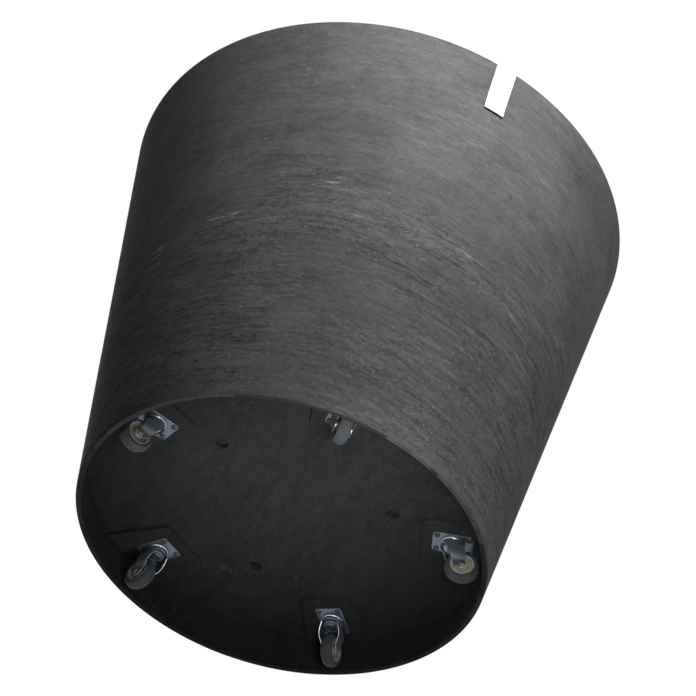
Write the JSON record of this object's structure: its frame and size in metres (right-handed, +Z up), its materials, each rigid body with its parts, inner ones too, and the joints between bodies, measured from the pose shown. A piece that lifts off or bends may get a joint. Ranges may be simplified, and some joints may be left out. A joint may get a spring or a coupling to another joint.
{
  "type": "rolling planter",
  "caption": "Large round tapered planter with a recessed base on hidden swivel castors and a tag folded over its rim.",
  "frame": {"origin": "on the ground, under the tub's axis", "axes": "+Z up along the tub's axis; +X towards the side where castor 2's plate is nearest, with castor 1 at -Y"},
  "size_m": [0.799, 0.7988, 0.7101],
  "materials": {
    "composite": "matt anthracite stone-filled composite, brushed round the body, with pale specks",
    "composite_base": "the same composite as moulded, darker and less brushed",
    "white_tag": "matt white card, bare",
    "zinc_plate": "blue-passivated zinc on pressed sheet",
    "dark_zinc": "dull zinc on turned and headed steel",
    "ball_steel": "polished and greased balls",
    "cream_plastic": "moulded cream plastic",
    "grey_rubber": "soft grey non-marking rubber"
  },
  "bodies": {
    "tub": {"outer_shell": "composite", "base_panel": "composite_base", "rim_tag": "white_tag", "caster_1_plate": "zinc_plate", "caster_1_screws": "dark_zinc", "caster_1_kingpin": "dark_zinc", "caster_1_lower_race": "zinc_plate", "caster_2_plate": "zinc_plate", "caster_2_screws": "dark_zinc", "caster_2_kingpin": "dark_zinc", "caster_2_lower_race": "zinc_plate", "caster_3_plate": "zinc_plate", "caster_3_screws": "dark_zinc", "caster_3_kingpin": "dark_zinc", "caster_3_lower_race": "zinc_plate", "caster_4_plate": "zinc_plate", "caster_4_screws": "dark_zinc", "caster_4_kingpin": "dark_zinc", "caster_4_lower_race": "zinc_plate", "caster_5_plate": "zinc_plate", "caster_5_screws": "dark_zinc", "caster_5_kingpin": "dark_zinc", "caster_5_lower_race": "zinc_plate"},
    "swivel_1": {"caster_1_balls": "ball_steel", "caster_1_fork": "zinc_plate", "caster_1_axle": "dark_zinc", "caster_1_bush": "zinc_plate"},
    "wheel_1": {"caster_1_hub": "cream_plastic", "caster_1_tyre": "grey_rubber"},
    "swivel_2": {"caster_2_balls": "ball_steel", "caster_2_fork": "zinc_plate", "caster_2_axle": "dark_zinc", "caster_2_bush": "zinc_plate"},
    "wheel_2": {"caster_2_hub": "cream_plastic", "caster_2_tyre": "grey_rubber"},
    "swivel_3": {"caster_3_balls": "ball_steel", "caster_3_fork": "zinc_plate", "caster_3_axle": "dark_zinc", "caster_3_bush": "zinc_plate"},
    "wheel_3": {"caster_3_hub": "cream_plastic", "caster_3_tyre": "grey_rubber"},
    "swivel_4": {"caster_4_balls": "ball_steel", "caster_4_fork": "zinc_plate", "caster_4_axle": "dark_zinc", "caster_4_bush": "zinc_plate"},
    "wheel_4": {"caster_4_hub": "cream_plastic", "caster_4_tyre": "grey_rubber"},
    "swivel_5": {"caster_5_balls": "ball_steel", "caster_5_fork": "zinc_plate", "caster_5_axle": "dark_zinc", "caster_5_bush": "zinc_plate"},
    "wheel_5": {"caster_5_hub": "cream_plastic", "caster_5_tyre": "grey_rubber"}
  },
  "joints": [
    {"name": "swivel_1", "type": "hinge", "parent": "tub", "child": "swivel_1", "pos_m": [-0.00254, -0.2421, 0.0601], "axis": [0, 0, 1], "continuous": true},
    {"name": "wheel_spin_1", "type": "hinge", "parent": "swivel_1", "child": "wheel_1", "pos_m": [-0.00309, -0.26209, 0.025], "axis": [0.9996, -0.0279, 0], "continuous": true},
    {"name": "swivel_2", "type": "hinge", "parent": "tub", "child": "swivel_2", "pos_m": [0.22946, -0.07722, 0.0601], "axis": [0, 0, 1], "continuous": true},
    {"name": "wheel_spin_2", "type": "hinge", "parent": "swivel_2", "child": "wheel_2", "pos_m": [0.24836, -0.08377, 0.025], "axis": [0.3272, 0.9449, 0], "continuous": true},
    {"name": "swivel_3", "type": "hinge", "parent": "tub", "child": "swivel_3", "pos_m": [0.14435, 0.19437, 0.0601], "axis": [0, 0, 1], "continuous": true},
    {"name": "wheel_spin_3", "type": "hinge", "parent": "swivel_3", "child": "wheel_3", "pos_m": [0.15675, 0.21006, 0.025], "axis": [-0.7848, 0.6198, 0], "continuous": true},
    {"name": "swivel_4", "type": "hinge", "parent": "tub", "child": "swivel_4", "pos_m": [-0.14025, 0.19735, 0.0601], "axis": [0, 0, 1], "continuous": true},
    {"name": "wheel_spin_4", "type": "hinge", "parent": "swivel_4", "child": "wheel_4", "pos_m": [-0.15229, 0.21332, 0.025], "axis": [-0.7986, -0.6018, 0], "continuous": true},
    {"name": "swivel_5", "type": "hinge", "parent": "tub", "child": "swivel_5", "pos_m": [-0.23103, -0.0724, 0.0601], "axis": [0, 0, 1], "continuous": true},
    {"name": "wheel_spin_5", "type": "hinge", "parent": "swivel_5", "child": "wheel_5", "pos_m": [-0.24992, -0.07898, 0.025], "axis": [0.3289, -0.9444, 0], "continuous": true}
  ]
}
